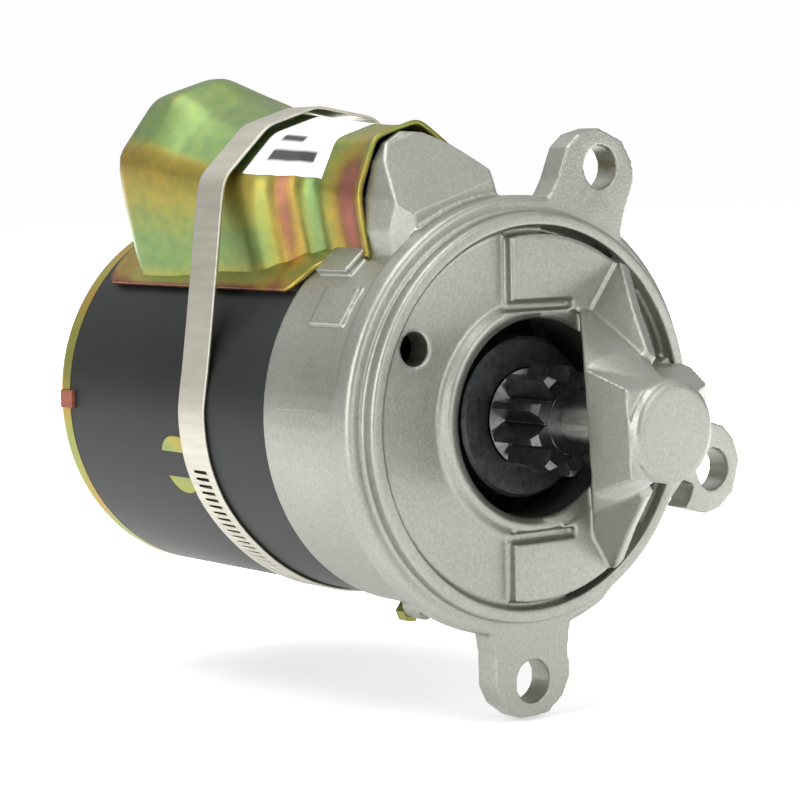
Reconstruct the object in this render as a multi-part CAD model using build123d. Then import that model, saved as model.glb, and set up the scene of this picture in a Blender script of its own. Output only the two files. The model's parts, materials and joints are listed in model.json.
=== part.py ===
from build123d import *
import math
import os

# Twelve-volt starter motor with a movable pole shoe, in millimetres.
# The origin is the centre of the mounting face, on the armature's axis. +X runs along the
# shaft to the pinion nose, +Z is up, and the ring gear sits on the -Y side.
# The lever cover and all that is under it lean TILT degrees from +Z towards -Y: those pieces
# are drawn upright, as (x, across, height), and leant afterwards.

os.makedirs("parts", exist_ok=True)

# ---- driving dimensions ----
FRAME_R = 57.15                      # field frame, 4.5 in outside diameter
FRAME_BORE = 51.5
HOUSING_REAR = -48.0                 # joint between drive housing and field frame
FRAME_REAR = -156.5                  # joint between field frame and rear end plate
PLATE_REAR = -165.0
HUB_REAR = -171.0
PILOT_R = 58.4                       # register that centres the starter in its bell housing
PILOT_LENGTH = 5.0
EAR_PITCH_R = 76.2                   # 3.0 in from the axis to each mounting hole
EAR_ANGLES = (22.6, 106.0, 179.0)    # from +Z towards +Y
EAR_HOLE_R = 6.25
EAR_THICK = 8.5
TILT = 17.0
OPENING_R = 28.3                     # the clutch drum comes out through this opening
RAISED_FACE = 6.0                    # height of the raised half of the front face
NOSE_R = 14.0
NOSE_FRONT = 62.0
NOSE_REAR = 40.0
GEAR_SIDE_LEAN = 4.0                 # the ring gear lies this far below -Y
CUT_START = 18.0                     # across, where the slanted cut leaves the front face
FLANK = (-12.2, -14.3)               # across, the nose's flank at its rear and at its front
HOOD_STATIONS = [(2.0, 14.5, 32.0), (6.0, 13.0, 30.4), (40.0, -1.0, 20.0), (50.0, 0.0, 14.5)]
RUNNING = 0.05                       # radial clearance of a running fit

SHAFT_R = 8.0
NOSE_SHAFT_R = 5.5
REAR_SHAFT_R = 6.45
SHAFT_STEP = -20.0
CORE_R = 32.0
CORE_X = (-118.0, -62.0)
CORE_SLOTS = 21
COMMUTATOR_R = 20.0
COMMUTATOR_X = (-147.0, -129.0)
COMMUTATOR_BARS = 21

POLE_R_IN = 33.5
POLE_X = (-114.0, -64.0)
FIXED_POLES = (107.0, 197.0, 287.0)  # from +Z towards -Y; the movable pole is at TILT
SCREW_X = -97.0
COIL_R = (39.2, 51.2)
COIL_X = (-126.0, -54.0)
COIL_HALF_ANGLE = 38.0

LEVER_SWING = 17.0                   # the lever turns this far when the drive coil pulls
FORK_BACK = 8.26                     # the fork leans this far back at rest
PIVOT_X = -36.0
PIVOT_H = 62.0
PIVOT_R = 3.0
COLLAR_R = 20.0

PINION_TEETH = 10
PINION_R = 15.4
PINION_ROOT_R = 10.4
PINION_X = (3.0, 21.0)
RACE_R = 13.9
DRUM_R = 23.0
DRUM_X = (-26.0, 0.0)

COVER_SHEET = 1.5
FLANGE_R = (58.25, 59.75)
STRAP_X = -80.4
STRAP_WIDTH = 12.8
STRAP_THICK = 0.9
CLAMP_ANGLE = 242.0                  # the clamp's screw, from +Z towards -Y
CLAMP_H = FRAME_R + 5
BOLT_ANGLES = (62.0, 242.0)          # through bolts, from +Z towards -Y
BOLT_PITCH_R = 45.5
BOLT_R = 3.1
TERMINAL_ANGLE = -62.0               # terminal stud, from +Z towards -Y
TERMINAL_X = -140.0
STUD_R = 4.0
STUD_FREE = (74.2, 80.0)             # the stud's free end, past its outer nut
LUG_ANGLE = 173.0                    # small lug under the housing, from +Z towards -Y
LUG_X = (-45.2, -38.0)
BRUSH_ANGLES = (17.0, 107.0, 197.0, 287.0)
BRUSH_X = (-145.0, -131.0)
BRUSH_HALF = 4.5
BRUSH_TOP = 36.0


# ---- helpers ----
def merge(shapes):
    total = shapes[0]
    for shape in shapes[1:]:
        total = total + shape
    return total


def turned(points):
    """A solid of revolution about the armature's axis, from (x, radius) points."""
    return revolve(make_face(Polyline(*points, close=True)), Axis.X)


def ring(x0, x1, r_out, r_in):
    return turned([(x0, r_in), (x1, r_in), (x1, r_out), (x0, r_out)])


def rod(x0, x1, r, y=0, z=0):
    return Pos((x0 + x1) / 2, y, z) * Rot(0, 90, 0) * Cylinder(r, x1 - x0)


def upright(r, z0, z1, x=0, y=0):
    return Pos(x, y, (z0 + z1) / 2) * Cylinder(r, z1 - z0)


def crosswise(r, y0, y1, x, z):
    return Pos(x, (y0 + y1) / 2, z) * Rot(90, 0, 0) * Cylinder(r, y1 - y0)


def block(x0, x1, y0, y1, z0, z1):
    return Pos((x0 + x1) / 2, (y0 + y1) / 2, (z0 + z1) / 2) * Box(x1 - x0, y1 - y0, z1 - z0)


def yz_prism(points, x0, x1):
    outline = Plane.YZ * make_face(Polyline(*points, close=True))
    return extrude(Pos(x0, 0, 0) * outline, x1 - x0, dir=(1, 0, 0))


def xz_prism(points, y0, y1):
    outline = Plane.XZ * make_face(Polyline(*points, close=True))
    return extrude(Pos(0, y0, 0) * outline, y1 - y0, dir=(0, 1, 0))


def xy_prism(points, z0, z1):
    outline = make_face(Polyline(*points, close=True))
    return extrude(Pos(0, 0, z0) * outline, z1 - z0, dir=(0, 0, 1))


def turn(shape, degrees):
    """Turn about the armature's axis: what points to +Z leans by this angle towards -Y."""
    return Rot(degrees, 0, 0) * shape


def sector(x0, x1, r_out, r_in, half_angle):
    """A ring piece centred on +Z, half_angle degrees wide on each side."""
    reach = 1.5 * r_out
    side = reach * math.tan(math.radians(half_angle))
    wedge = yz_prism([(0, 0), (side, reach), (-side, reach)], x0 - 1, x1 + 1)
    return ring(x0, x1, r_out, r_in) & wedge


def hexagon(x0, x1, across_flats, y=0, z=0):
    corner = across_flats / math.sqrt(3)
    corners = [math.radians(60 * k) for k in range(6)]
    outline = [(y + corner * math.cos(a), z + corner * math.sin(a)) for a in corners]
    return yz_prism(outline, x0, x1)


def coil_spring(coil_r, wire_r, height, turns):
    """A helical spring along +Z from the origin."""
    line = Helix(pitch=height / turns, height=height, radius=coil_r)
    section = Plane(origin=line @ 0, z_dir=line % 0) * Circle(wire_r)
    return sweep(section, path=line)


def swing(shape, degrees):
    """Turn about the lever's pivot: positive lifts the pole shoe and takes the fork back."""
    return Pos(PIVOT_X, 0, PIVOT_H) * Rot(0, degrees, 0) * Pos(-PIVOT_X, 0, -PIVOT_H) * shape


def save(name, shape):
    export_step(shape, "parts/" + name + ".step")


# ---- drive end housing ----
ARCH = [(-20, 44), (-19.6, 62), (-17, 71), (-11.5, 79.8), (-6.5, 84), (0, 85.4),
        (6.5, 83), (11.5, 77.8), (16, 70), (19.4, 61), (20, 44)]
ARCH_X = -25.7


def mounting_ear():
    outline = [(-20, 52), (-14.6, 61), (-13.6, 67), (-13.6, 77), (-11, 82), (-5, 86.4), (5, 86.4),
               (11, 82), (13.6, 77), (13.6, 67), (14.6, 61), (20, 52)]
    return yz_prism(outline, -EAR_THICK, 0)


def ring_gear_cut():
    """Room for the ring gear: a slanted cut on the open side, and the nose's flat flank."""
    outline = [(5.4, -90), (5.4, CUT_START), (NOSE_REAR + 0.2, FLANK[0]), (NOSE_FRONT - 1.5, FLANK[1]),
               (NOSE_FRONT + 1, FLANK[1]), (NOSE_FRONT + 1, -90)]
    return turn(xy_prism(outline, -60, 60), GEAR_SIDE_LEAN)


def nose_section(x, across, radius):
    return Pos(x, across, 0) * (Plane.YZ * Circle(radius))


def nose():
    """The hood over the pinion, its bushing boss and the beam that ties them to the rim."""
    hood = loft([nose_section(*station) for station in HOOD_STATIONS], ruled=True)
    boss = turned([(38, 0), (38, NOSE_R), (NOSE_FRONT - 1.8, NOSE_R), (NOSE_FRONT - 0.6, NOSE_R - 0.5),
                   (NOSE_FRONT, NOSE_R - 1.8), (NOSE_FRONT, 0)])
    cheek_plan = [(NOSE_REAR, -24), (NOSE_REAR, 0), (NOSE_FRONT - 3, 0), (NOSE_FRONT - 3, -24)]
    cheek_side = [(NOSE_REAR - 1, -18.6), (NOSE_REAR - 1, 16.8),
                  (NOSE_FRONT - 2, 11.8), (NOSE_FRONT - 2, -11.8)]
    cheek = xy_prism(cheek_plan, -20, 20) & xz_prism(cheek_side, -25, 1)
    beam_plan = [(2, 0), (2, 53.2), (9, 53.2), (38, 34), (53, 11), (53, 0)]
    beam_side = [(1, -12.6), (1, 12.6), (18, 12.6), (54, 7.5), (54, -7.5), (18, -12.6)]
    beam = xy_prism(beam_plan, -14, 14) & xz_prism(beam_side, -1, 60)
    rib_outline = [(2, 30), (2, 53.2), (7, 53.2), (22, 38), (37, 24), (37, 20)]
    ribs = [turn(xy_prism(rib_outline, -2.2, 2.2), lean) for lean in (53, -58)]
    return merge([hood, boss, cheek, beam] + ribs) - ring_gear_cut()


def nose_hollow():
    """The clutch drum and the pinion travel inside this hollow."""
    return turned([(-11, 0), (-11, OPENING_R), (5, OPENING_R), (9, 25), (19.8, 24.4), (30, 20.4),
                   (NOSE_REAR, 17.2), (NOSE_REAR, 10.4), (45, 10.4), (45, 0)])


def front_pockets():
    """Two deep pockets between the beam and the ribs, inside the rim."""
    outer = turned([(-1.5, 45.5), (7, 44), (7, 53.4), (-1.5, 53.4)])
    wedges = []
    for low, high in ((16, 49), (-54, -16)):
        edges = [(80, 80 * math.tan(math.radians(angle))) for angle in (low, high)]
        wedges.append(yz_prism([(0, 0)] + edges, -4, 9))
    return outer & merge(wedges)


def lever_hood():
    """The cast hump in front of the lever cover, open at its rear."""
    side = [(ARCH_X, 44), (ARCH_X, 90), (-23, 90), (-22.5, 83.5), (-7, 66), (-7, 44)]
    plan = [(ARCH_X, -20), (-15, -20), (-7, -15), (-7, 15), (-15, 20), (ARCH_X, 20)]
    return yz_prism(ARCH, ARCH_X, -6) & xz_prism(side, -22, 22) & xy_prism(plan, 40, 92)


def pivot_cheeks():
    outline = [(-43, 50), (-42, 62), (-39, 65.6), (-33, 65.6), (-24, 65.6), (-24, 50)]
    return xz_prism(outline, 12.7, 16.8) + xz_prism(outline, -16.8, -12.7)


def drive_end_housing():
    bell = turned([(HOUSING_REAR, 50), (HOUSING_REAR, 57.6), (HOUSING_REAR + 0.5, 58), (-11.5, 58.1),
                   (-9.8, 59.4), (-8.8, 61.8), (-7, 63), (-1.4, 63), (-0.4, 62.5), (0, 61.6), (0, PILOT_R),
                   (PILOT_LENGTH - 0.6, PILOT_R), (PILOT_LENGTH, PILOT_R - 0.6), (PILOT_LENGTH, 54.8),
                   (4.6, 54.4), (2.5, 54), (2.5, 34), (5.4, 32), (5.4, 30), (4.4, OPENING_R),
                   (-10, OPENING_R), (-10, 33), (-6, 38), (-6, 46), (-12, 50)])
    spigot = ring(HOUSING_REAR - 5, HOUSING_REAR + 2, FRAME_BORE - 0.1, 47)
    raised = ring(1.5, RAISED_FACE, 52.2, 33) & block(1, 7, -9.5, 60, -60, 60)
    body = bell + spigot + raised + nose() + turn(lever_hood(), TILT) + turn(pivot_cheeks(), TILT)
    body = body + turn(rod(LUG_X[0], LUG_X[1], 4, 0, 58.7) - rod(-50, -30, 53), LUG_ANGLE)
    for angle in EAR_ANGLES:
        body = body + turn(mounting_ear(), -angle)
    for angle in BOLT_ANGLES:
        body = body + turn(rod(HOUSING_REAR - 5, -34, 6, 0, BOLT_PITCH_R), angle)
        body = body - turn(rod(HOUSING_REAR - 6, -36.5, BOLT_R, 0, BOLT_PITCH_R), angle)
    body = body - nose_hollow() - front_pockets()
    body = body - (ring(1.2, 7, 54.4, 52.2) & block(1, 8, -9.5, 60, -60, 60))
    for z0, z1 in ((30.6, 33.4), (-35, -32)):
        body = body - block(3.2, 7, -24, 13, z0, z1)
    body = body - rod(44, NOSE_FRONT - 2.2, NOSE_SHAFT_R + 2)
    body = body - turn(block(HOUSING_REAR - 6, -22.5, -12.7, 12.7, 40, 69.5), TILT)
    body = body - turn(crosswise(PIVOT_R, -22, 22, PIVOT_X, PIVOT_H), TILT)
    for angle in EAR_ANGLES:
        body = body - turn(rod(-EAR_THICK - 8, 8, EAR_HOLE_R, 0, EAR_PITCH_R), -angle)
    body = body - rod(-12, 4, 4.75, -41.5, 21.8)
    chord = turn(block(-10, 1, -60, 60, 59.6, 66), -135)
    return body - (chord & turn(sector(-10, 1, 70, 50, 24), -135))


# ---- field frame and what is bolted inside it ----
def locating_tab():
    return block(-160.5, -153.5, -58.2, -55.2, -2.8, 2.8)


def field_frame():
    tube = turned([(FRAME_REAR, FRAME_BORE), (FRAME_REAR, FRAME_R - 0.5), (FRAME_REAR + 0.5, FRAME_R),
                   (HOUSING_REAR - 0.5, FRAME_R), (HOUSING_REAR, FRAME_R - 0.5), (HOUSING_REAR, FRAME_BORE)])
    tube = tube - turn(block(-122, -58, -21, 21, 45, 60), TILT)
    for angle in FIXED_POLES:
        tube = tube - turn(screw_body(), angle)
    tube = tube - turn(upright(8, 50, 60, TERMINAL_X), TERMINAL_ANGLE)
    return tube - block(FRAME_REAR - 1, -153.4, -60, -55.1, -2.9, 2.9)


def screw_body():
    """A pole screw along +Z: countersunk head flush with the frame, shank into the shoe."""
    head = turned([(57.0, 0), (57.0, 9.2), (56.2, 9.4), (53.6, 7.4), (53.6, 5), (42, 5), (42, 0)])
    return Pos(SCREW_X, 0, 0) * Rot(0, -90, 0) * head


def pole_screw():
    slot = block(SCREW_X - 7, SCREW_X + 7, -1, 1, 54.6, 58)
    return screw_body() - slot


def fixed_pole_shoe():
    face = sector(POLE_X[0], POLE_X[1], 38.6, POLE_R_IN, 30)
    core = sector(POLE_X[0] + 2, POLE_X[1] - 2, FRAME_BORE, 38, 20)
    return (face + core) - screw_body()


def field_coil():
    outer = sector(COIL_X[0], COIL_X[1], COIL_R[1], COIL_R[0], COIL_HALF_ANGLE)
    window = sector(-116, -62, 60, 30, 21.5)
    return outer - window


def drive_coil():
    outer = sector(COIL_X[0], COIL_X[1], COIL_R[1], COIL_R[0], COIL_HALF_ANGLE)
    return outer - block(-121.5, -58.5, -20.5, 20.5, 30, 60)


# ---- rear end plate, brushes and terminal ----
def rear_end_plate():
    cup = turned([(FRAME_REAR, 54.7), (FRAME_REAR, FRAME_R), (-161, FRAME_R), (-163, 56.4), (-164.4, 55),
                  (PLATE_REAR, 53), (PLATE_REAR, 14), (-166, 13), (HUB_REAR + 1, 12.5), (HUB_REAR, 11.5),
                  (HUB_REAR, 0), (-169, 0), (-169, 9.5), (-158, 9.5), (-158, 12), (-162.5, 12),
                  (-162.5, 52), (-160.8, 54.7)])
    for angle in BOLT_ANGLES:
        cup = cup - turn(rod(-170, -160, BOLT_R, 0, BOLT_PITCH_R), angle)
    return cup - block(-160.6, FRAME_REAR + 1, -60, -55.1, -2.9, 2.9)


def through_bolts():
    bolt = rod(-166.5, -37, BOLT_R, 0, BOLT_PITCH_R) + hexagon(-169, PLATE_REAR, 9.5, 0, BOLT_PITCH_R)
    return [turn(bolt, angle) for angle in BOLT_ANGLES]


def brush_plate():
    plate = ring(-153, -151, 50, 9.5)
    for angle in BOLT_ANGLES:
        plate = plate - turn(rod(-154, -150, BOLT_R + 0.4, 0, BOLT_PITCH_R), angle)
    return plate


def brush_holder():
    """A sheet-metal guide that stands on the brush plate, built towards +Z."""
    walls = block(-151, BRUSH_X[1] + 1.5, -BRUSH_HALF - 1.5, BRUSH_HALF + 1.5, 24, 43.4)
    guide = block(BRUSH_X[0] - 0.1, BRUSH_X[1] + 0.1, -BRUSH_HALF - 0.1, BRUSH_HALF + 0.1, 23, 42.2)
    back_relief = block(-150, BRUSH_X[0] - 1.3, -BRUSH_HALF - 0.3, BRUSH_HALF + 0.3, 23, 44)
    return walls - guide - back_relief


def brush():
    carbon = block(BRUSH_X[0], BRUSH_X[1], -BRUSH_HALF, BRUSH_HALF, 18, BRUSH_TOP)
    return carbon - rod(-150, -128, COMMUTATOR_R + 0.15)


def brush_spring():
    return Pos(sum(BRUSH_X) / 2, 0, BRUSH_TOP + 0.6) * coil_spring(3.2, 0.45, 4.8, 3)


def terminal_stud():
    head = block(TERMINAL_X - 6, TERMINAL_X + 6, -6, 6, 45.6, 48.2)
    shank = upright(STUD_R - 0.2, 45.6, STUD_FREE[0], TERMINAL_X)
    return head + shank + upright(STUD_R, STUD_FREE[0], STUD_FREE[1], TERMINAL_X)


def terminal_insulator():
    bush = upright(8, 51, 58, TERMINAL_X) + upright(9.5, 57.6, 60.4, TERMINAL_X)
    inner = upright(9, 48.3, 50.5, TERMINAL_X)
    return bush + inner + upright(8, 50, 52, TERMINAL_X) - upright(STUD_R, 40, 90, TERMINAL_X)


def terminal_nuts():
    across = 12.7
    flat = Rot(0, -90, 0) * (hexagon(60.6, 66.4, across) + hexagon(68.4, 74.2, across))
    washer = upright(9, 66.5, 68.3)
    return Pos(TERMINAL_X, 0, 0) * (flat + washer) - upright(STUD_R, 50, 90, TERMINAL_X)


def terminal_strap():
    return block(TERMINAL_X + 6.2, COIL_X[0] - 0.2, -4, 4, 46, 48)


# ---- lever cover and its clamp ----
HUMP_STATIONS = [      # x, half width, crease height, half ridge width, ridge height
    (-140.0, 22.5, 80.5, 8.0, 90.0),
    (-137.0, 28.5, 84.5, 9.0, 97.4),
    (-131.0, 31.6, 86.0, 9.6, 101.2),
    (-118.5, 31.6, 84.8, 9.6, 102.2),
    (-106.0, 31.0, 83.0, 9.2, 95.0),
    (-89.5, 29.4, 80.4, 9.0, 90.2),
    (-72.0, 29.0, 77.8, 9.0, 88.4),
    (-48.0, 20.2, 74.0, 8.0, 86.4),
    (-26.0, 19.8, 69.5, 7.0, 85.2),
]


def hump_section(x, half_width, crease, half_ridge, ridge, inset):
    w = half_width - inset
    t = half_ridge - 0.5 * inset
    outline = [(-w, 44), (-w, crease - 0.4 * inset), (-t, ridge - inset),
               (t, ridge - inset), (w, crease - 0.4 * inset), (w, 44)]
    return Pos(x, 0, 0) * (Plane.YZ * make_face(Polyline(*outline, close=True)))


def cover_hump(inset, front):
    first = [HUMP_STATIONS[0][0] + inset] + list(HUMP_STATIONS[0][1:])
    last = [front] + list(HUMP_STATIONS[-1][1:])
    stations = [first] + HUMP_STATIONS[1:-1] + [last]
    sections = [hump_section(*station, inset) for station in stations]
    return loft(sections, ruled=True)


def lever_cover():
    flange = sector(-150, -50, FLANGE_R[1], FLANGE_R[0], 35) + sector(-52, -34, FLANGE_R[1], FLANGE_R[0], 28)
    outer = cover_hump(0, HUMP_STATIONS[-1][0]) + flange
    return outer - cover_hump(COVER_SHEET, -24) - ring(-160, -20, FLANGE_R[0], 0.001)


def cover_gasket():
    pad = sector(-149, -49, FLANGE_R[0] - 0.05, FRAME_R + 0.05, 33.5)
    return pad - block(-136, -40, -27, 27, 40, 70)


def strap_face(grow):
    """The taut outline of the clamp band, drawn round the frame and the cover's section."""
    crease_y, crease_z, ridge_y, ridge_z = 29.0, 79.9, 9.0, 89.85
    outline = [(-crease_y, crease_z), (-ridge_y, ridge_z), (ridge_y, ridge_z), (crease_y, crease_z)]
    far = math.hypot(crease_y, crease_z)
    touch = math.atan2(crease_y, crease_z) + math.acos(FRAME_R / far)
    foot = (FRAME_R * math.sin(touch), FRAME_R * math.cos(touch))
    saddle = make_face(Polyline(*outline, foot, (-foot[0], foot[1]), close=True))
    return offset(saddle + Circle(FRAME_R), amount=grow)


def band_clamp():
    loop = strap_face(0.25 + STRAP_THICK) - strap_face(0.25)
    start = Pos(STRAP_X - STRAP_WIDTH / 2, 0, 0)
    return extrude(start * (Plane.YZ * loop), STRAP_WIDTH, dir=(1, 0, 0))


def clamp_worm():
    return crosswise(3.4, -12, 14, STRAP_X, CLAMP_H)


def clamp_housing():
    return block(STRAP_X - 7.4, STRAP_X + 7.4, -8, 8, FRAME_R + 1.3, FRAME_R + 9) - clamp_worm()


def clamp_screw():
    return clamp_worm() + Pos(STRAP_X, 0, CLAMP_H) * Rot(0, 0, 90) * hexagon(14, 19, 8)


def contact_block():
    return block(-134, -125, -9, 9, FRAME_R + 1.1, 66)


def contact_blades():
    return block(-132, -124, -7, -2, 66, 67) + block(-132, -124, 2, 7, 66, 67)


# ---- armature ----
def armature_shaft():
    return turned([(-167.5, 0), (-167.5, 5.9), (-167, REAR_SHAFT_R), (-152, REAR_SHAFT_R), (-152, SHAFT_R),
                   (SHAFT_STEP - 1, SHAFT_R), (SHAFT_STEP, SHAFT_R - 1), (SHAFT_STEP, NOSE_SHAFT_R),
                   (59, NOSE_SHAFT_R), (59.5, 5), (59.5, 0)])


def slot_bars(half_width, r0, r1, x0, x1):
    bar = block(x0, x1, -half_width, half_width, r0, r1)
    return [turn(bar, 360 * k / CORE_SLOTS) for k in range(CORE_SLOTS)]


def armature_core():
    return ring(CORE_X[0], CORE_X[1], CORE_R, SHAFT_R) - slot_bars(2, 21, 40, CORE_X[0] - 1, CORE_X[1] + 1)


def armature_windings():
    rear = turned([(-127, 12), (-127, 26), (-124, 30), (CORE_X[0], 31), (CORE_X[0], 12)])
    front = turned([(CORE_X[1], 12), (CORE_X[1], 31), (-57, 30), (-54.5, 26), (-54.5, 12)])
    return rear + front + slot_bars(1.9, 21.2, 31, CORE_X[0] - 0.5, CORE_X[1] + 0.5)


def commutator():
    barrel = ring(COMMUTATOR_X[0], COMMUTATOR_X[1], COMMUTATOR_R, SHAFT_R) + ring(-131, -127.2, 21, SHAFT_R)
    slit = block(-148, -131.2, -0.3, 0.3, COMMUTATOR_R - 0.8, COMMUTATOR_R + 1)
    return barrel - [turn(slit, 360 * k / COMMUTATOR_BARS) for k in range(COMMUTATOR_BARS)]


# ---- drive: collar, sleeve and overrunning clutch ----
def yoke_collar():
    return turned([(-50, 11), (-50, COLLAR_R), (-47.6, COLLAR_R), (-47.6, 13.5), (-42.4, 13.5),
                   (-42.4, COLLAR_R), (-40, COLLAR_R), (-40, 11)])


def clutch_drum():
    return turned([(DRUM_X[0], 11), (DRUM_X[0], 21), (-24, DRUM_R), (-1, DRUM_R), (DRUM_X[1], 22),
                   (DRUM_X[1], 14.3), (-2.2, 14.3), (-2.2, 19.6), (-20.5, 19.6), (-20.5, 11)])


def clutch_rollers():
    roller = rod(-18, -4, 2.7, 0, 16.7)
    return [turn(roller, 72 * k) for k in range(5)]


def clutch_spring():
    return Pos(-38.7, 0, 0) * Rot(0, 90, 0) * coil_spring(13.2, 1.1, 11.3, 3.5)


def pinion():
    body = turned([(-18.5, NOSE_SHAFT_R + RUNNING), (-18.5, RACE_R), (0.5, RACE_R), (PINION_X[0], PINION_ROOT_R),
                   (PINION_X[1] - 1, PINION_ROOT_R), (PINION_X[1], PINION_ROOT_R - 1),
                   (PINION_X[1], NOSE_SHAFT_R + RUNNING)])
    flank = [(-3.1, PINION_ROOT_R - 1), (-2.9, PINION_ROOT_R + 0.6), (-1.9, 13.2), (-1.0, PINION_R),
             (1.0, PINION_R), (1.9, 13.2), (2.9, PINION_ROOT_R + 0.6), (3.1, PINION_ROOT_R - 1)]
    tooth = yz_prism(flank, PINION_X[0], PINION_X[1])
    lead_in = turned([(PINION_X[0] - 1, 0), (PINION_X[0] - 1, 16), (PINION_X[1] - 2.2, 16),
                      (PINION_X[1] + 0.2, 13.4), (PINION_X[1] + 0.2, 0)])
    teeth = merge([turn(tooth, 360 * k / PINION_TEETH) for k in range(PINION_TEETH)]) & lead_in
    return body + (teeth - rod(-5, 30, PINION_ROOT_R - 2))


# ---- lever with its movable pole shoe ----
def drive_lever():
    bridge_outline = [(-11.5, 67), (-11.5, 47.5), (-24.4, 36), (-24.4, 28), (-21.2, 28), (-21.2, 34.4),
                      (-9, 45), (9, 45), (21.2, 34.4), (21.2, 28), (24.4, 28), (24.4, 36),
                      (11.5, 47.5), (11.5, 67)]
    fork = yz_prism(bridge_outline, PIVOT_X - 2.5, PIVOT_X + 2.5)
    for side in (-1, 1):
        y_in, y_out = sorted((side * 21.2, side * 24.4))
        arm = [(PIVOT_X - 4, 40), (PIVOT_X + 4, 40), (PIVOT_X + 4.2, 0), (PIVOT_X + 3, -4.5),
               (PIVOT_X - 3, -4.5), (PIVOT_X - 4.2, 0)]
        fork = fork + xz_prism(arm, y_in, y_out)
        pin_in, pin_out = sorted((side * 14.3, side * 22))
        fork = fork + crosswise(2.3, pin_in, pin_out, PIVOT_X, PIVOT_H - 62.65)
    plate = block(-108, PIVOT_X + 3, -11, 11, 59.2, 62.6)
    lips = block(-106, -44, -11, -8.6, 59.2, 66) + block(-106, -44, 8.6, 11, 59.2, 66)
    hub = crosswise(5.6, -11.5, 11.5, PIVOT_X, PIVOT_H)
    lever = swing(fork, FORK_BACK) + swing(plate + lips, LEVER_SWING) + hub
    return lever - crosswise(PIVOT_R + RUNNING, -30, 30, PIVOT_X, PIVOT_H)


def movable_pole_shoe():
    shoe = block(POLE_X[0], POLE_X[1], -18, 18, 20, FRAME_BORE) - rod(-130, -50, POLE_R_IN)
    lower_half = block(-130, -50, -60, 60, -60, 20)
    stem = block(-101, -77, -8, 8, FRAME_BORE - 1, 59.2)
    return swing((shoe - lower_half) + stem, LEVER_SWING)


def return_spring():
    return Pos(-88, 0, 80.6) * coil_spring(5.2, 0.6, 6.6, 3)


# ---- write every node ----
def save_root():
    save("drive_end_housing", drive_end_housing())
    save("field_frame", field_frame())
    save("rear_end_plate", rear_end_plate())
    save("locating_tab", locating_tab())
    save("lever_cover", turn(lever_cover(), TILT))
    save("cover_gasket", turn(cover_gasket(), TILT))
    save("band_clamp", turn(band_clamp(), TILT))
    save("clamp_housing", turn(clamp_housing(), CLAMP_ANGLE))
    save("clamp_screw", turn(clamp_screw(), CLAMP_ANGLE))
    save("pivot_pin", turn(crosswise(PIVOT_R, -16.8, 16.8, PIVOT_X, PIVOT_H), TILT))
    save("through_bolts", Compound(children=through_bolts()))
    save("pole_screws", Compound(children=[turn(pole_screw(), angle) for angle in FIXED_POLES]))
    for number, angle in enumerate(FIXED_POLES, 1):
        save(f"pole_shoe_{number}", turn(fixed_pole_shoe(), angle))
        save(f"field_coil_{number}", turn(field_coil(), angle))
    save("drive_coil", turn(drive_coil(), TILT))
    save("front_bushing", ring(45, 59.7, NOSE_SHAFT_R + 2, NOSE_SHAFT_R + RUNNING))
    save("rear_bushing", ring(-169, -158, 9.5, REAR_SHAFT_R + RUNNING))
    save("brush_plate", brush_plate())
    save("brush_holders", Compound(children=[turn(brush_holder(), angle) for angle in BRUSH_ANGLES]))
    for number, angle in enumerate(BRUSH_ANGLES, 1):
        save(f"brush_spring_{number}", turn(brush_spring(), angle))
    save("terminal_stud", turn(terminal_stud(), TERMINAL_ANGLE))
    save("terminal_insulator", turn(terminal_insulator(), TERMINAL_ANGLE))
    save("terminal_nuts", turn(terminal_nuts(), TERMINAL_ANGLE))
    save("terminal_strap", turn(terminal_strap(), TERMINAL_ANGLE))
    save("return_spring", turn(return_spring(), TILT))
    save("contact_block", turn(contact_block(), TILT))
    save("contact_blades", turn(contact_blades(), TILT))
    save("lug_screw", turn(hexagon(-49.2, LUG_X[0], 5.5, 0, 61.1), LUG_ANGLE))


def save_moving():
    for number, angle in enumerate(BRUSH_ANGLES, 1):
        save(f"brush_{number}", turn(brush(), angle))
    save("armature_shaft", armature_shaft())
    save("armature_core", armature_core())
    save("armature_windings", armature_windings())
    save("commutator", commutator())
    save("thrust_washer", ring(-157.7, -156.2, 11, REAR_SHAFT_R))
    save("stop_ring", ring(40.7, 43.2, 9.5, NOSE_SHAFT_R))
    save("stop_ring_clip", ring(43.2, 44.2, 7.4, NOSE_SHAFT_R))
    save("spline_sleeve", ring(-50, -21, 11, SHAFT_R + RUNNING))
    save("yoke_collar", yoke_collar())
    save("clutch_spring", clutch_spring())
    save("clutch_drum", clutch_drum())
    save("clutch_rollers", Compound(children=clutch_rollers()))
    save("pinion", pinion())
    save("drive_lever", turn(drive_lever(), TILT))
    save("movable_pole_shoe", turn(movable_pole_shoe(), TILT))


save_root()
save_moving()
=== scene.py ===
import json
import math

import bpy
import bmesh
import numpy as np
from mathutils import Matrix, Vector


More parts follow.
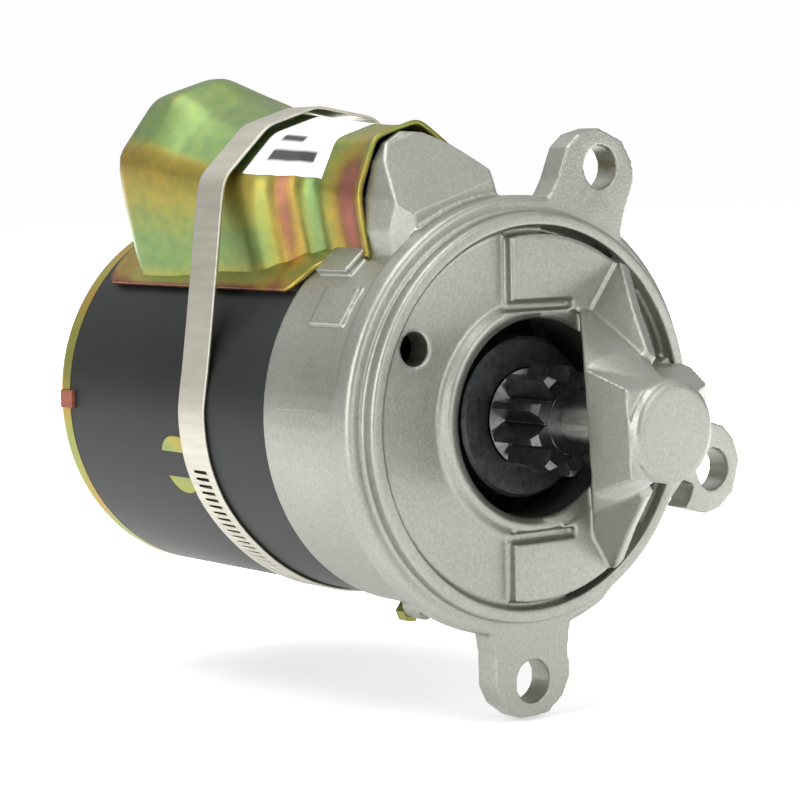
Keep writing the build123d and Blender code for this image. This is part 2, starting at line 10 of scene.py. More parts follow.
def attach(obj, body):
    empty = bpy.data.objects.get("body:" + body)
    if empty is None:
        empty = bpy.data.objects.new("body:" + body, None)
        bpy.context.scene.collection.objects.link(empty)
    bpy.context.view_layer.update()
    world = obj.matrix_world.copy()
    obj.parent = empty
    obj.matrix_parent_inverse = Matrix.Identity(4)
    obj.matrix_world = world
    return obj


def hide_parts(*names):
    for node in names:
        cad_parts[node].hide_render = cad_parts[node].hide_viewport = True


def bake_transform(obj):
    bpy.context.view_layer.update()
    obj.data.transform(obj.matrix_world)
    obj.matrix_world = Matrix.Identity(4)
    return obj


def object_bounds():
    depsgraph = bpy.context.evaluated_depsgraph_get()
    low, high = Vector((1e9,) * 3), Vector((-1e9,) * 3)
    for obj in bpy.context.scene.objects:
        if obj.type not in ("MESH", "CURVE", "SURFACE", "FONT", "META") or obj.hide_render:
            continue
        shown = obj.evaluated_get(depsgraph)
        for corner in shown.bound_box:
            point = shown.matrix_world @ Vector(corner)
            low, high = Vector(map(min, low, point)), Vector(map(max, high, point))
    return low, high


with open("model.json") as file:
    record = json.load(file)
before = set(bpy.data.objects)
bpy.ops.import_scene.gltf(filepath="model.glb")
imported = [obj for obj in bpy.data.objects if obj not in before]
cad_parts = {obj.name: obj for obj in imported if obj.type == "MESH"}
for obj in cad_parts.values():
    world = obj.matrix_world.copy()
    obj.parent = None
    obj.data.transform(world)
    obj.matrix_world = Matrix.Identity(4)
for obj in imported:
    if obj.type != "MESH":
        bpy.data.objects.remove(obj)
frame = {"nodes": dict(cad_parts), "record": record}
cad_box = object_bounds()

MM = 0.001
TILT = math.radians(17)            # the lever cover leans this far from +Z towards -Y
FRAME_R = 57.15
STRAP_X = -80.4


# ---------------------------------------------------------------- camera, light and floor
CAMERA_PLACE = (0.58486, -0.49272, 0.07320)
CAMERA_TURN = (52.57, 5.06, -1.07)      # azimuth, elevation and roll, in degrees
CAMERA_LENS = 121.5


def add_camera():
    azimuth, elevation, roll = [math.radians(angle) for angle in CAMERA_TURN]
    back = Vector((math.sin(azimuth) * math.cos(elevation), -math.cos(azimuth) * math.cos(elevation),
                   math.sin(elevation)))
    right = Vector((math.cos(azimuth), math.sin(azimuth), 0))
    up = back.cross(right)
    turn = Matrix((right, up, back)).transposed() @ Matrix.Rotation(roll, 3, "Z")
    data = bpy.data.cameras.new("camera")
    data.lens = CAMERA_LENS
    data.sensor_width = 36
    data.clip_start = 0.01
    camera = bpy.data.objects.new("camera", data)
    camera.matrix_world = Matrix.Translation(CAMERA_PLACE) @ turn.to_4x4()
    bpy.context.scene.collection.objects.link(camera)
    bpy.context.scene.camera = camera


OBJECT_MIDDLE = (-0.05, 0, 0)


def add_light(name, place, size, power, aim):
    data = bpy.data.lights.new(name, "AREA")
    data.energy = power
    data.shape = "RECTANGLE"
    data.size, data.size_y = size
    lamp = bpy.data.objects.new(name, data)
    lamp.location = place
    lamp.rotation_euler = (Vector(aim) - Vector(place)).to_track_quat("-Z", "Y").to_euler()
    bpy.context.scene.collection.objects.link(lamp)


LIGHTS = [        # name, place, size, power, aim
    ("top_softbox", (-0.15, -0.25, 0.9), (0.9, 0.6), 4, OBJECT_MIDDLE),
    ("left_softbox", (-0.15, -0.95, 0.30), (0.35, 0.9), 3.2, OBJECT_MIDDLE),
    ("front_softbox", (1.9, 0.35, 0.9), (1.4, 1.6), 13.5, OBJECT_MIDDLE),
    ("edge_strip", (0.25, -1.15, 0.22), (0.09, 1.0), 3.4, OBJECT_MIDDLE),
    ("far_softbox", (-0.9, 1.3, 1.6), (4.0, 4.0), 160, (-1.6, 3.0, 0)),
]
SKY_TONES = ((0.50, 0.22), (0.60, 0.42), (0.74, 0.66))      # height from straight down to straight up, grey
GROUND_TONE = 0.7
BACKDROP_TONE = 0.99                # what the camera itself sees behind the object
FLOOR_REACH = 6.0
FLOOR_GAP = 0.0012                  # the object stands just clear of the floor


def add_sky():
    """A grey sky that only lights the object, behind a white backdrop for the camera."""
    world = bpy.data.worlds.new("studio")
    world.use_nodes = True
    nodes, links = world.node_tree.nodes, world.node_tree.links
    background = nodes["Background"]
    direction = nodes.new("ShaderNodeSeparateXYZ")
    links.new(nodes.new("ShaderNodeTexCoord").outputs["Generated"], direction.inputs["Vector"])
    height = nodes.new("ShaderNodeMapRange")
    height.inputs["From Min"].default_value = -1
    links.new(direction.outputs["Z"], height.inputs["Value"])
    sky = nodes.new("ShaderNodeValToRGB")
    for position, tone in SKY_TONES:
        element = sky.color_ramp.elements.new(position)
        element.color = (tone, tone, tone, 1)
    sky.color_ramp.elements[0].color = (GROUND_TONE, GROUND_TONE, GROUND_TONE, 1)
    links.new(height.outputs["Result"], sky.inputs["Fac"])
    seen = nodes.new("ShaderNodeMix")
    seen.data_type = "RGBA"
    seen.inputs["B"].default_value = (BACKDROP_TONE, BACKDROP_TONE, BACKDROP_TONE, 1)
    links.new(nodes.new("ShaderNodeLightPath").outputs["Is Camera Ray"], seen.inputs["Factor"])
    links.new(sky.outputs["Color"], seen.inputs["A"])
    links.new(seen.outputs["Result"], background.inputs["Color"])
    bpy.context.scene.world = world


def add_floor():
    floor_mesh = bpy.data.meshes.new("floor")
    level = cad_box[0][2] - FLOOR_GAP
    corners = [(x * FLOOR_REACH, y * FLOOR_REACH, level) for x, y in ((-1, -1), (1, -1), (1, 1), (-1, 1))]
    floor_mesh.from_pydata(corners, [], [(0, 1, 2, 3)])
    floor = bpy.data.objects.new("floor", floor_mesh)
    bpy.context.scene.collection.objects.link(floor)
    floor.data.materials.append(floor_material())


def add_studio():
    add_sky()
    for light in LIGHTS:
        add_light(*light)
    add_floor()
    bpy.context.scene.view_settings.view_transform = "Standard"


# ---------------------------------------------------------------- materials
class Surface:
    """A node material under construction."""

    def __init__(self, name):
        self.material = bpy.data.materials.new(name)
        self.material.use_nodes = True
        self.nodes = self.material.node_tree.nodes
        self.links = self.material.node_tree.links
        self.shader = self.nodes["Principled BSDF"]
        self.place = self.nodes.new("ShaderNodeTexCoord").outputs["Object"]
        self.height = None

    def set(self, **values):
        for key, value in values.items():
            self.shader.inputs[key.replace("_", " ")].default_value = value
        return self

    def noise(self, scale, detail=4, stretch=None):
        node = self.nodes.new("ShaderNodeTexNoise")
        node.inputs["Scale"].default_value = scale
        node.inputs["Detail"].default_value = detail
        node.inputs["Roughness"].default_value = 0.55
        source = self.place
        if stretch:
            mapping = self.nodes.new("ShaderNodeMapping")
            mapping.inputs["Scale"].default_value = stretch
            self.links.new(source, mapping.inputs["Vector"])
            source = mapping.outputs["Vector"]
        self.links.new(source, node.inputs["Vector"])
        return node.outputs["Fac"]

    def ramp(self, value, stops):
        node = self.nodes.new("ShaderNodeValToRGB")
        elements = node.color_ramp.elements
        while len(elements) < len(stops):
            elements.new(0.5)
        for element, (position, color) in zip(elements, stops):
            element.position = position
            element.color = (*color, 1)
        self.links.new(value, node.inputs["Fac"])
        return node.outputs["Color"]

    def color(self, output):
        self.links.new(output, self.shader.inputs["Base Color"])

    def multiply(self, a, b):
        node = self.nodes.new("ShaderNodeMix")
        node.data_type = "RGBA"
        node.blend_type = "MULTIPLY"
        node.inputs["Factor"].default_value = 1.0
        self.links.new(a, node.inputs["A"])
        self.links.new(b, node.inputs["B"])
        return node.outputs["Result"]

    def roughness(self, value, low, high):
        node = self.nodes.new("ShaderNodeMapRange")
        node.inputs["To Min"].default_value = low
        node.inputs["To Max"].default_value = high
        self.links.new(value, node.inputs["Value"])
        self.links.new(node.outputs["Result"], self.shader.inputs["Roughness"])

    def bump(self, value, depth_mm):
        node = self.nodes.new("ShaderNodeBump")
        node.inputs["Distance"].default_value = depth_mm * MM
        node.inputs["Strength"].default_value = 1.0
        self.links.new(value, node.inputs["Height"])
        if self.height is not None:
            self.links.new(self.height, node.inputs["Normal"])
        self.height = node.outputs["Normal"]
        self.links.new(self.height, self.shader.inputs["Normal"])


def floor_material():
    surface = Surface("studio_floor").set(Roughness=0.9, Emission_Color=(1, 1, 1, 1), Emission_Strength=0.42)
    surface.color(surface.ramp(surface.noise(3), [(0, (0.86, 0.86, 0.86)), (1, (0.9, 0.9, 0.9))]))
    return surface.material


def cast_aluminium():
    surface = Surface("cast_aluminium").set(Metallic=0.92)
    broad = surface.noise(28, 5)
    grain = surface.noise(1100, 5)
    tone = surface.ramp(broad, [(0.3, (0.36, 0.37, 0.325)), (0.7, (0.42, 0.43, 0.385))])
    fine = surface.ramp(grain, [(0.35, (0.84, 0.84, 0.82)), (0.65, (1.0, 1.0, 1.0))])
    surface.color(surface.multiply(tone, fine))
    surface.roughness(broad, 0.32, 0.46)
    surface.bump(grain, 0.06)
    surface.bump(surface.noise(420, 3), 0.05)
    return surface.material


def black_paint():
    surface = Surface("black_paint").set(Metallic=0.0, Specular_IOR_Level=0.3)
    broad = surface.noise(30, 4)
    surface.color(surface.ramp(broad, [(0.3, (0.009, 0.0105, 0.0105)), (0.7, (0.014, 0.016, 0.016))]))
    surface.roughness(broad, 0.36, 0.46)
    surface.bump(surface.noise(700, 3), 0.03)
    return surface.material


ZINC_STOPS = [(0.0, (0.19, 0.30, 0.18)), (0.3, (0.22, 0.31, 0.11)), (0.5, (0.34, 0.33, 0.08)),
              (0.68, (0.42, 0.29, 0.06)), (0.85, (0.30, 0.14, 0.065)), (1.0, (0.38, 0.13, 0.11))]


def yellow_zinc(name="yellow_zinc", scale=38, painted=False):
    """Chromated zinc plate: its colour follows the thickness of the film."""
    surface = Surface(name).set(Metallic=0.85)
    film = surface.noise(scale, 3)
    if painted:
        # the stored colour is the chromate film plus painted reflection bands on the neck
        stored = surface.nodes.new("ShaderNodeAttribute")
        stored.attribute_name = "film"
        tint = surface.ramp(film, [(0.3, (0.80, 0.92, 0.86)), (0.7, (1.06, 0.97, 0.95))])
        broad = surface.multiply(stored.outputs["Color"], tint)
        fleck = surface.ramp(surface.noise(260, 6), [(0.36, (0.80, 0.86, 0.95)), (0.64, (1.04, 1.0, 0.92))])
        surface.color(surface.multiply(broad, fleck))
    else:
        surface.color(surface.ramp(film, [(0.3, ZINC_STOPS[1][1]), (0.47, ZINC_STOPS[2][1]),
                                          (0.6, ZINC_STOPS[3][1]), (0.75, ZINC_STOPS[4][1])]))
    surface.roughness(surface.noise(160, 4), 0.30, 0.46)
    surface.bump(surface.noise(1100, 2), 0.015)
    return surface.material


def metal(name, dark, light, low, high, grain=500, depth=0.02, stretch=None, metallic=1.0):
    """Two tones of grain, a roughness from low to high, and a bump of depth in millimetres."""
    surface = Surface(name).set(Metallic=metallic)
    texture = surface.noise(grain, 4, stretch=stretch)
    surface.color(surface.ramp(texture, [(0.3, dark), (0.7, light)]))
    surface.roughness(surface.noise(120, 3), low, high)
    surface.bump(texture, depth)
    return surface.material


def fibre(name, dark, light, grain=400):
    surface = Surface(name).set(Metallic=0.0)
    texture = surface.noise(grain, 5, stretch=(1, 1, 4))
    surface.color(surface.ramp(texture, [(0.3, dark), (0.7, light)]))
    surface.roughness(texture, 0.55, 0.8)
    surface.bump(texture, 0.05)
    return surface.material


def wrapped_coil():
    surface = Surface("wrapped_coil").set(Metallic=0.0)
    wave = surface.nodes.new("ShaderNodeTexWave")
    wave.inputs["Scale"].default_value = 160
    wave.inputs["Distortion"].default_value = 1.5
    surface.links.new(surface.place, wave.inputs["Vector"])
    surface.color(surface.ramp(wave.outputs["Fac"], [(0.2, (0.16, 0.11, 0.06)), (0.8, (0.30, 0.24, 0.15))]))
    surface.roughness(surface.noise(300), 0.4, 0.7)
    surface.bump(wave.outputs["Fac"], 0.25)
    return surface.material


def paper_label():
    surface = Surface("paper_label").set(Metallic=0.0, Roughness=0.45)
    stored = surface.nodes.new("ShaderNodeAttribute")
    stored.attribute_name = "print"
    fleck = surface.ramp(surface.noise(400), [(0.3, (0.93, 0.93, 0.93)), (0.7, (1, 1, 1))])
    surface.color(surface.multiply(stored.outputs["Color"], fleck))
    surface.bump(surface.noise(700), 0.01)
    return surface.material


MATERIALS = {
    "cast_aluminium": cast_aluminium(),
    "black_paint": black_paint(),
    "yellow_zinc": yellow_zinc(),
    "stainless": metal("stainless", (0.52, 0.50, 0.42), (0.62, 0.60, 0.51), 0.30, 0.42,
                       500, 0.008, stretch=(0.1, 1, 1), metallic=0.9),
    "machined_steel": metal("machined_steel", (0.50, 0.49, 0.44), (0.66, 0.65, 0.60), 0.2, 0.3,
                            900, 0.01, stretch=(4, 1, 1)),
    "dark_steel": metal("dark_steel", (0.07, 0.075, 0.08), (0.14, 0.145, 0.15), 0.35, 0.5),
    "gear_steel": metal("gear_steel", (0.12, 0.125, 0.13), (0.22, 0.225, 0.23), 0.22, 0.36),
    "spring_steel": metal("spring_steel", (0.22, 0.22, 0.23), (0.34, 0.34, 0.35), 0.25, 0.4),
    "iron": metal("iron", (0.09, 0.085, 0.08), (0.17, 0.165, 0.16), 0.5, 0.7, 300, 0.05),
    "copper": metal("copper", (0.48, 0.19, 0.10), (0.70, 0.32, 0.19), 0.25, 0.42),
    "bronze": metal("bronze", (0.38, 0.26, 0.11), (0.52, 0.38, 0.18), 0.4, 0.55, 700, 0.03),
    "brass_sheet": metal("brass_sheet", (0.52, 0.40, 0.16), (0.66, 0.53, 0.25), 0.3, 0.42),
    "carbon": metal("carbon", (0.015, 0.015, 0.016), (0.04, 0.04, 0.042), 0.45, 0.6, 600, 0.03, metallic=0.2),
    "fibre": fibre("fibre", (0.17, 0.045, 0.025), (0.30, 0.09, 0.05)),
    "wrapped_coil": wrapped_coil(),
    "gasket_rubber": fibre("gasket_rubber", (0.010, 0.010, 0.010), (0.03, 0.03, 0.03)),
}


def dress_cad_nodes():
    """Every carried-over CAD node takes the material of its slot in the record."""
    slots = {part["node"]: part["material_slot"] for part in frame["record"]["subparts"]}
    for name, node in frame["nodes"].items():
        node.data.materials.clear()
        node.data.materials.append(MATERIALS[slots[name]])


# ---------------------------------------------------------------- mesh helpers
def lean(points):
    """From the cover's own upright frame to the row frame."""
    across, height = points[..., 1].copy(), points[..., 2].copy()
    out = points.copy()
    out[..., 1] = across * math.cos(TILT) - height * math.sin(TILT)
    out[..., 2] = across * math.sin(TILT) + height * math.cos(TILT)
    return out


def mesh_object(name, points, faces, material):
    mesh = bpy.data.meshes.new(name)
    mesh.from_pydata([tuple(p) for p in points], [], faces)
    mesh.update()
    mesh.shade_smooth()
    mesh.materials.append(material)
    piece = bpy.data.objects.new(name, mesh)
    bpy.context.scene.collection.objects.link(piece)
    return piece


def grid_faces(rows, columns):
    faces = []
    for i in range(rows - 1):
        for j in range(columns - 1):
            a, b = i * columns + j, (i + 1) * columns + j
            faces.append((a, a + 1, b + 1, b))
    return faces


def store_color(piece, name, colors):
    attribute = piece.data.color_attributes.new(name, "FLOAT_COLOR", "POINT")
    rgba = np.ones((len(piece.data.vertices), 4), np.float32)
    rgba[:, :3] = colors
    attribute.data.foreach_set("color", rgba.ravel())


def apply_modifiers(piece):
    """Bakes the modifiers of a piece of our own into its mesh."""
    bpy.context.view_layer.update()
    shown = piece.evaluated_get(bpy.context.evaluated_depsgraph_get())
    mesh = bpy.data.meshes.new_from_object(shown)
    piece.modifiers.clear()
    piece.data = mesh


def solidify(piece, thick_mm, offset):
    """Offset -1 adds the thickness behind the surface, 1 in front of it."""
    modifier = piece.modifiers.new("thickness", "SOLIDIFY")
    modifier.thickness = thick_mm * MM
    modifier.offset = offset
    modifier.use_even_offset = True
    apply_modifiers(piece)


# ---------------------------------------------------------------- cast housing
HOUSING_VOXEL = 0.55
HOUSING_TRIANGLES = 170000
CAST_SMOOTHING = 3
WELD_GAP = 0.00001
CAST_PADS = [        # x from, x to, bearing from, bearing to, inner and outer radius
    (-33.0, -17.5, 49.5, 61.5, 55.0, 59.3),
    (-42.0, -27.0, 35.0, 45.0, 55.0, 60.6),
]


def add_cast_pads(mesh):
    """Low raised pads on the bell, in degrees from +Z towards -Y."""
    work = bmesh.new()
    work.from_mesh(mesh)
    for x0, x1, a0, a1, r0, r1 in CAST_PADS:
        corners = []
        for x in (x0, x1):
            for a in (a0, a1):
                for r in (r0, r1):
                    t = math.radians(a)
                    corners.append(work.verts.new((x * MM, -r * math.sin(t) * MM, r * math.cos(t) * MM)))
        for face in ((0, 1, 3, 2), (4, 6, 7, 5), (0, 4, 5, 1), (2, 3, 7, 6), (0, 2, 6, 4), (1, 5, 7, 3)):
            work.faces.new([corners[k] for k in face])
    bmesh.ops.recalc_face_normals(work, faces=work.faces[-6 * len(CAST_PADS):])
    work.to_mesh(mesh)
    work.free()


RIM_SLOTS = [(6, 36), (43, 50), (129, 166)]      # degrees from +Z towards +Y
SLOT_X = (-3.5, 9)
SLOT_RADII = (52.4, 54.5)


def slot_cutter():
    """Closed arc blocks that cut the deep slots between the front face and the rim."""
    points, faces = [], []
    (x0, x1), (inner, outer) = SLOT_X, SLOT_RADII
    for a0, a1 in RIM_SLOTS:
        start, steps = len(points), max(2, int(a1 - a0))
        for k in range(steps + 1):
            t = math.radians(a0 + (a1 - a0) * k / steps)
            for x, r in ((x0, inner), (x0, outer), (x1, outer), (x1, inner)):
                points.append((x * MM, r * math.sin(t) * MM, r * math.cos(t) * MM))
        for k in range(steps):
            for j in range(4):
                a, b = start + 4 * k + j, start + 4 * k + (j + 1) % 4
                faces.append((a, b, b + 4, a + 4))
        last = start + 4 * steps
        faces += [(start + 3, start + 2, start + 1, start), (last, last + 1, last + 2, last + 3)]
    cutter = mesh_object("rim_slot_cutter", points, faces, MATERIALS["cast_aluminium"])
    work = bmesh.new()
    work.from_mesh(cutter.data)
    bmesh.ops.recalc_face_normals(work, faces=work.faces)
    work.to_mesh(cutter.data)
    work.free()
    return cutter


def cast_copy(node, name, voxel_mm):
    """A copy of a machined solid with the soft edges of a casting."""
    mesh = frame["nodes"][node].data.copy()
    add_cast_pads(mesh)
    piece = bpy.data.objects.new(name, mesh)
    bpy.context.scene.collection.objects.link(piece)
    piece.modifiers.new("weld", "WELD").merge_threshold = WELD_GAP
    cutter = slot_cutter()
    slots = piece.modifiers.new("slots", "BOOLEAN")
    slots.operation = "DIFFERENCE"
    slots.solver = "EXACT"
    slots.use_self = True
    slots.object = cutter
    apply_modifiers(piece)
    bpy.data.objects.remove(cutter)
    remesh = piece.modifiers.new("remesh", "REMESH")
    remesh.mode = "VOXEL"
    remesh.voxel_size = voxel_mm * MM
    smooth = piece.modifiers.new("smooth", "SMOOTH")
    smooth.factor = 0.5
    smooth.iterations = CAST_SMOOTHING
    apply_modifiers(piece)
    count = sum(len(p.vertices) - 2 for p in piece.data.polygons)
    thin = piece.modifiers.new("thin", "DECIMATE")
    thin.ratio = min(1.0, HOUSING_TRIANGLES / count)
    apply_modifiers(piece)
    piece.data.shade_smooth()
    piece.data.materials.clear()
    piece.data.materials.append(MATERIALS["cast_aluminium"])
    return piece


def make_housing():
    voxel = HOUSING_VOXEL
    housing = cast_copy("drive_end_housing", "cast_housing", voxel)
    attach(housing, "motor_body")
    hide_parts("drive_end_housing")


# ---------------------------------------------------------------- lever cover
FLANGE_R = 59.7
HUMP = [      # x, half width, crease height, half ridge width, ridge height
    (-139.9, 22.4, 80.4, 8.0, 89.8),
    (-137.0, 28.3, 84.2, 9.0, 97.2),
    (-131.0, 31.4, 85.8, 9.6, 101.0),
    (-125.0, 31.5, 85.2, 9.6, 101.9),
    (-118.5, 31.5, 84.6, 9.6, 102.0),
    (-112.0, 31.3, 83.8, 9.4, 98.8),
    (-106.0, 30.8, 82.8, 9.2, 94.8),
    (-98.0, 30.0, 81.6, 9.1, 92.2),
    (-89.5, 29.2, 80.2, 9.0, 90.0),
    (-72.0, 28.9, 77.6, 9.0, 88.2),
    (-64.0, 26.6, 76.4, 8.6, 87.5),
    (-54.0, 21.6, 74.6, 8.2, 86.6),
    (-48.0, 20.0, 73.6, 8.0, 86.1),
    (-36.0, 19.7, 71.4, 7.5, 85.6),
    (-29.0, 20.0, 70.4, 7.6, 85.6),
    (-27.0, 20.8, 70.8, 8.2, 86.6),
    (-25.0, 21.0, 70.8, 8.4, 86.9),
]
FLANGE_EDGE = [(-149.9, 29.0), (-148.6, 33.0), (-146.0, 34.8), (-52.0, 34.8), (-49.5, 33.5), (-47.0, 29.6),
               (-45.0, 25.5), (-42.0, 23.0), (-36.0, 22.2), (-33.0, 21.6), (-30.0, 21.0), (-25.0, 20.8)]
FLANGE_MARGIN = 2.0                              # the flange reaches at least this far past the wall
NECK_MARGIN = 0.4                                # and this far at the neck, in front of NECK_X
NECK_X = -34
FLANGE_X = (-149.9, -140.3)                      # the flat flange behind the hump
FLANGE_ROWS, WALL_ROWS, HUMP_ROWS = 9, 13, 116
WALL_SLOPE = 0.2                                 # how far the rear wall's foot is behind its top
FOLD_ROUNDS = 6                                  # rounds of relaxing that soften the folds
COVER_THICK = 1.3
PLEAT_DEPTH = 0.75
PLEAT_PITCH = 8.5
PLEAT_START = -70
PLEATS = ((-70, -64, -46, -40), (0, 1, 1, 0))    # x, share of the full pleat
SPANS = (10, 18, 14, 12, 14, 18, 10)      # quads across: flange, wall, slope, ridge, slope, wall, flange


def on_flange(y):
    return math.sqrt(FLANGE_R ** 2 - y * y)


def cover_row(x, rise):
    """Points across the cover at x: rise 0 lies on the flange, 1 is the full hump."""
    hump_x = max(x, HUMP[0][0])
    stations = np.array(HUMP)
    w, crease, t, ridge = [float(np.interp(hump_x, stations[:, 0], stations[:, k])) for k in range(1, 5)]
    w += PLEAT_DEPTH * np.interp(x, *PLEATS) * math.sin(2 * math.pi * (x - PLEAT_START) / PLEAT_PITCH)
    edges = np.array(FLANGE_EDGE)
    edge = math.radians(float(np.interp(x, edges[:, 0], edges[:, 1])))
    margin = NECK_MARGIN if x > NECK_X else FLANGE_MARGIN
    edge_y = max(FLANGE_R * math.sin(edge), w + margin)
    edge_z = on_flange(edge_y)
    base = [(-edge_y, edge_z), (-w, on_flange(w)), (-w * 0.96, on_flange(w * 0.96)), (-t, on_flange(t))]
    full = [(-edge_y, edge_z), (-w, on_flange(w)), (-w, crease), (-t, ridge)]
    low = base + [(-y, z) for y, z in reversed(base)]
    high = full + [(-y, z) for y, z in reversed(full)]
    corners = [(a[0] + rise * (b[0] - a[0]), a[1] + rise * (b[1] - a[1])) for a, b in zip(low, high)]
    row = []
    for (p, q), count in zip(zip(corners, corners[1:]), SPANS):
        for k in range(count):
            f = k / count
            y, z = p[0] + f * (q[0] - p[0]), p[1] + f * (q[1] - p[1])
            row.append((x, y, z))
    row.append((x, *corners[-1]))
    out = np.array(row)
    for point in out:
        if rise == 0 or abs(point[1]) > w - 0.01:
            point[2] = on_flange(point[1])
    return out


def cover_grid():
    """Rows from the rear: the flat flange, the steep rear wall, then the hump itself."""
    rows = [cover_row(x, 0) for x in np.linspace(*FLANGE_X, FLANGE_ROWS)]
    for rise in np.linspace(0.06, 0.94, WALL_ROWS):
        rows.append(cover_row(HUMP[0][0] - WALL_SLOPE * (1 - rise), rise))
    rows += [cover_row(x, 1) for x in np.linspace(HUMP[0][0], HUMP[-1][0], HUMP_ROWS)]
    return np.array(rows)


def relax(grid, rounds, amount=0.5):
    """Rounds the folds of a grid. The outer columns stay, and the end rows are rounded along themselves."""
    out = grid.copy()
    for _ in range(rounds):
        middle = (out[:-2, 1:-1] + out[2:, 1:-1] + out[1:-1, :-2] + out[1:-1, 2:]) / 4
        out[1:-1, 1:-1] += amount * (middle - out[1:-1, 1:-1])
        out[0, 1:-1] += amount * ((out[0, :-2] + out[0, 2:]) / 2 - out[0, 1:-1])
        out[-1, 1:-1] += amount * ((out[-1, :-2] + out[-1, 2:]) / 2 - out[-1, 1:-1])
    return out


# Film tones run along ZINC_STOPS, from 0, green, to 1, red.
FLAT_TONE = 0.02
FOLD_TONE = 0.62                                 # the most that a sharp fold adds
FOLD_SHARPNESS = (0.2, 3.0)                      # mm off the smooth form where it starts, and its reach
FOOT_TONE = 0.5                                  # the most at the foot of the wall
EDGE_TONES = ((0, 1.5, 5), (0.9, 0.84, 0.3))     # columns in from the edge, tone
REAR_TONE = 0.72
REAR_X = -132                                    # where the rear wall starts to turn gold
# Painted reflection: tone bands across the neck wall, given as x and tone along ZINC_STOPS, stand in for the
# wall's facets reflecting the lamps.
NECK_REFLECTION_BANDS = ((-68, -62, -58, -53, -48, -43, -38, -33, -29, -26),
              (0.30, 0.62, 0.92, 0.55, 0.25, 0.5, 0.72, 1.0, 0.95, 0.6))
NECK_REFLECTION_FADE = ((50, 60, 78, 84), (0.4, 1, 1, 0.45))        # height, strength of the bands


def grid_normals(grid):
    normal = np.cross(np.gradient(grid, axis=0), np.gradient(grid, axis=1))
    length = np.linalg.norm(normal, axis=2, keepdims=True)
    return normal / np.maximum(length, 1e-9)


def film_and_reflection_colors(grid):
    """Chromate film colour: green on the flats, gold and red towards folds and edges, and painted reflection
    bands on the neck wall.
    """
    soft = relax(grid, 40)
    sharp = np.abs(((grid - soft) * grid_normals(soft)).sum(axis=2))
    start, reach = FOLD_SHARPNESS
    tone = FLAT_TONE + np.clip((sharp - start) / reach, 0, FOLD_TONE)
    x, across, height = grid[..., 0], np.abs(grid[..., 1]), grid[..., 2]
    above = np.hypot(across, height) - FLANGE_R
    tone = np.maximum(tone, np.clip(0.62 - above / 9, 0, FOOT_TONE))
    column = np.arange(grid.shape[1])
    to_edge = np.minimum(column, grid.shape[1] - 1 - column)
    tone = np.maximum(tone, np.interp(to_edge, *EDGE_TONES))
    tone = np.maximum(tone, np.clip((REAR_X - x) / 9, 0, REAR_TONE))
    # painted reflection: the neck bands take over the film tone, faded by height
    neck_reflection_reach = np.clip((x - NECK_REFLECTION_BANDS[0][0]) / 5, 0, 1)
    tone = tone + neck_reflection_reach * (np.interp(x, *NECK_REFLECTION_BANDS) - tone) * np.interp(height, *NECK_REFLECTION_FADE)
    stops = np.array([s[0] for s in ZINC_STOPS])
    table = np.array([s[1] for s in ZINC_STOPS])
    return np.stack([np.interp(tone, stops, table[:, k]) for k in range(3)], axis=2)


def make_cover():
    grid = relax(cover_grid(), FOLD_ROUNDS)
    # chromate film colours, with painted reflection bands on the neck wall
    colors = film_and_reflection_colors(grid)
    rows, columns = grid.shape[:2]
    points = (lean(grid) * MM).reshape(-1, 3)
    zinc = yellow_zinc("cover_zinc", scale=30, painted=True)
    cover = mesh_object("cover_stamping", points, grid_faces(rows, columns), zinc)
    store_color(cover, "film", colors.reshape(-1, 3))
    ridge = cover.data.polygons[len(cover.data.polygons) // 2]
    if ridge.normal.z < 0:
        cover.data.flip_normals()
    solidify(cover, COVER_THICK, -1.0)
    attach(cover, "motor_body")
    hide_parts("lever_cover")
    return grid


# ---------------------------------------------------------------- clamp band
STRAP_CREASE, STRAP_RIDGE = (29.3, 80.6), (9.2, 90.6)      # across and height where the band bends
STRAP_GAP = 0.3
CORNER_ROUNDS = 45                   # rounds of averaging that round the band's corners


def strap_path(step):
    """Points round the frame and over the cover in (across, height), with an even step."""
    crease, ridge = STRAP_CREASE, STRAP_RIDGE
    radius = FRAME_R + STRAP_GAP
    far = math.hypot(*crease)
    touch = math.atan2(*crease) + math.acos(radius / far)
    corners = [(radius * math.sin(touch), radius * math.cos(touch)), crease, ridge,
               (-ridge[0], ridge[1]), (-crease[0], crease[1]),
               (-radius * math.sin(touch), radius * math.cos(touch))]
    dense = []
    for p, q in zip(corners, corners[1:]):
        dense += [(p[0] + f * (q[0] - p[0]), p[1] + f * (q[1] - p[1])) for f in np.linspace(0, 1, 60)[:-1]]
    turns = np.linspace(-touch, -(2 * math.pi - touch), 400)
    dense += [(radius * math.sin(a), radius * math.cos(a)) for a in turns[:-1]]
    dense = np.array(dense)
    for _ in range(CORNER_ROUNDS):
        dense = (np.roll(dense, 1, 0) + dense * 2 + np.roll(dense, -1, 0)) / 4
    lengths = np.concatenate([[0], np.cumsum(np.linalg.norm(np.roll(dense, -1, 0) - dense, axis=1))])
    count = int(round(lengths[-1] / step))
    at = np.arange(count) * lengths[-1] / count
    looped = np.vstack([dense, dense[:1]])
    return np.stack([np.interp(at, lengths, looped[:, k]) for k in (0, 1)], axis=1)


STRAP_THICK = 0.85
STRAP_ACROSS = (-6.7, -6.4, -4.8, -3.6, 3.6, 4.8, 6.4, 6.7)      # lines along the band, from its middle
STRAP_SHIFT = ((0, 20, 60, 72, 88, 100, 118, 140, 360),          # bearing, and how far the band leans in x
               (0, 0, -3.2, -4.6, -4.8, -4.2, -1.5, 0, 0))
SLOTTED = (89, 218)                  # bearings between which the band is slotted
SLOT_PITCH = 4                       # path steps from one slot to the next
SLOT_LENGTH = 2                      # path steps that a slot is open for
SLOT_LINE = 3                        # the slots lie between this line of STRAP_ACROSS and the next
PATH_STEP = 0.58


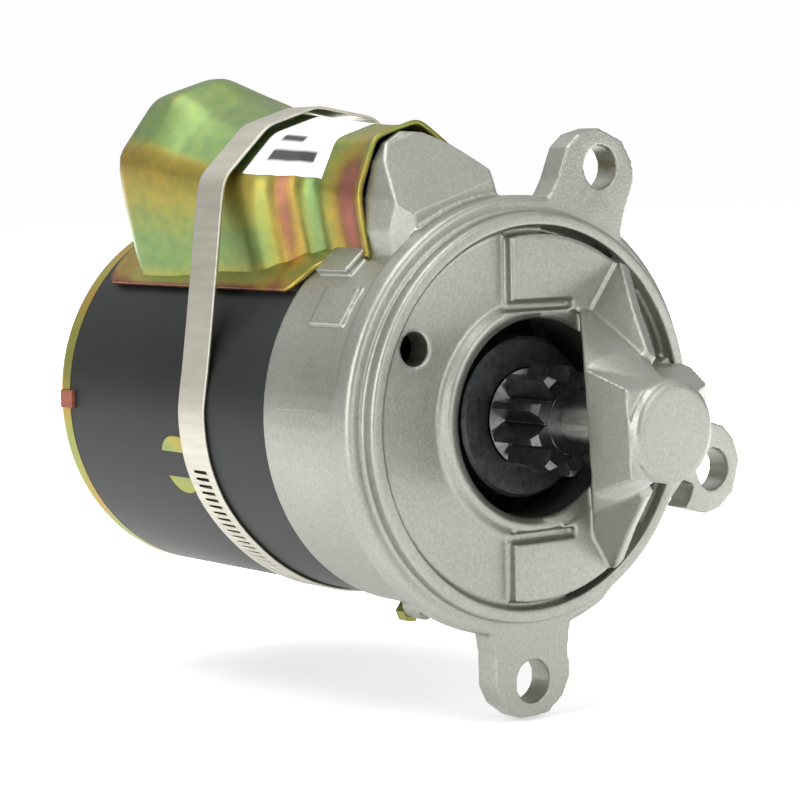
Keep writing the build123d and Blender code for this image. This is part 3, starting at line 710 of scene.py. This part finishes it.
def make_strap():
    path = strap_path(PATH_STEP)
    bearing = np.degrees(np.arctan2(-path[:, 0], path[:, 1])) % 360
    shift = np.interp(bearing, *STRAP_SHIFT)
    points = np.array([[(STRAP_X + v + d, y, z) for v in STRAP_ACROSS] for (y, z), d in zip(path, shift)])
    rows, columns = points.shape[:2]
    slotted = (bearing > SLOTTED[0]) & (bearing < SLOTTED[1])
    faces = []
    for i in range(rows):
        for j in range(columns - 1):
            if slotted[i] and j == SLOT_LINE and i % SLOT_PITCH < SLOT_LENGTH:
                continue
            a, b = i * columns + j, ((i + 1) % rows) * columns + j
            faces.append((a, b, b + 1, a + 1))
    strap = mesh_object("strap_band", (lean(points) * MM).reshape(-1, 3), faces, MATERIALS["stainless"])
    sample = strap.data.polygons[len(strap.data.polygons) // 3]
    outward = Vector((0, sample.center.y, sample.center.z))
    if sample.normal.dot(outward) < 0:
        strap.data.flip_normals()
    solidify(strap, STRAP_THICK, 1.0)
    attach(strap, "motor_body")
    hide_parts("band_clamp")


# ---------------------------------------------------------------- label
LABEL_X = (-73, -43)
LABEL_LIFT = 0.18
LABEL_THICK = 0.12
LABEL_BARS = ((0.18, 0.8, 0.12, 0.2), (0.18, 0.55, 0.27, 0.32))      # along from, to, across from, to
PAPER, INK = 0.9, 0.03


def make_label(grid):
    """A plain white label over the cover's ridge, with two printed bars."""
    crease = sum(SPANS[:2])
    rows = [i for i in range(grid.shape[0]) if LABEL_X[0] < grid[i, crease + 2, 0] < LABEL_X[1]]
    first, last = crease + 4, sum(SPANS[:5]) - 3
    patch = grid[rows[0]:rows[-1] + 1, first:last]
    normal = grid_normals(patch)
    if normal[..., 2].mean() < 0:
        normal = -normal
    patch = patch + LABEL_LIFT * normal
    shape = patch.shape[:2]
    label = mesh_object("plain_label", (lean(patch) * MM).reshape(-1, 3), grid_faces(*shape), paper_label())
    u, v = np.meshgrid(np.linspace(0, 1, shape[0]), np.linspace(0, 1, shape[1]), indexing="ij")
    tone = np.full(shape + (3,), PAPER)
    for u0, u1, v0, v1 in LABEL_BARS:
        tone[(u > u0) & (u < u1) & (v > v0) & (v < v1)] = INK
    store_color(label, "print", tone.reshape(-1, 3))
    solidify(label, LABEL_THICK, 1.0)
    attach(label, "motor_body")


# ---------------------------------------------------------------- return spring
def make_return_spring():
    """The coil between cover and lever, a smooth-shaded copy of the CAD spring."""
    coil = bpy.data.objects.new("return_coil", frame["nodes"]["return_spring"].data.copy())
    bpy.context.scene.collection.objects.link(coil)
    coil.data.shade_smooth()
    along = lean(np.array([[0.0, 0.0, 1.0]]))[0]
    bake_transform(coil)
    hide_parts("return_spring")


# ---------------------------------------------------------------- build the scene
add_camera()
add_studio()
dress_cad_nodes()
make_housing()
cover_points = make_cover()
make_strap()
make_label(cover_points)
make_return_spring()
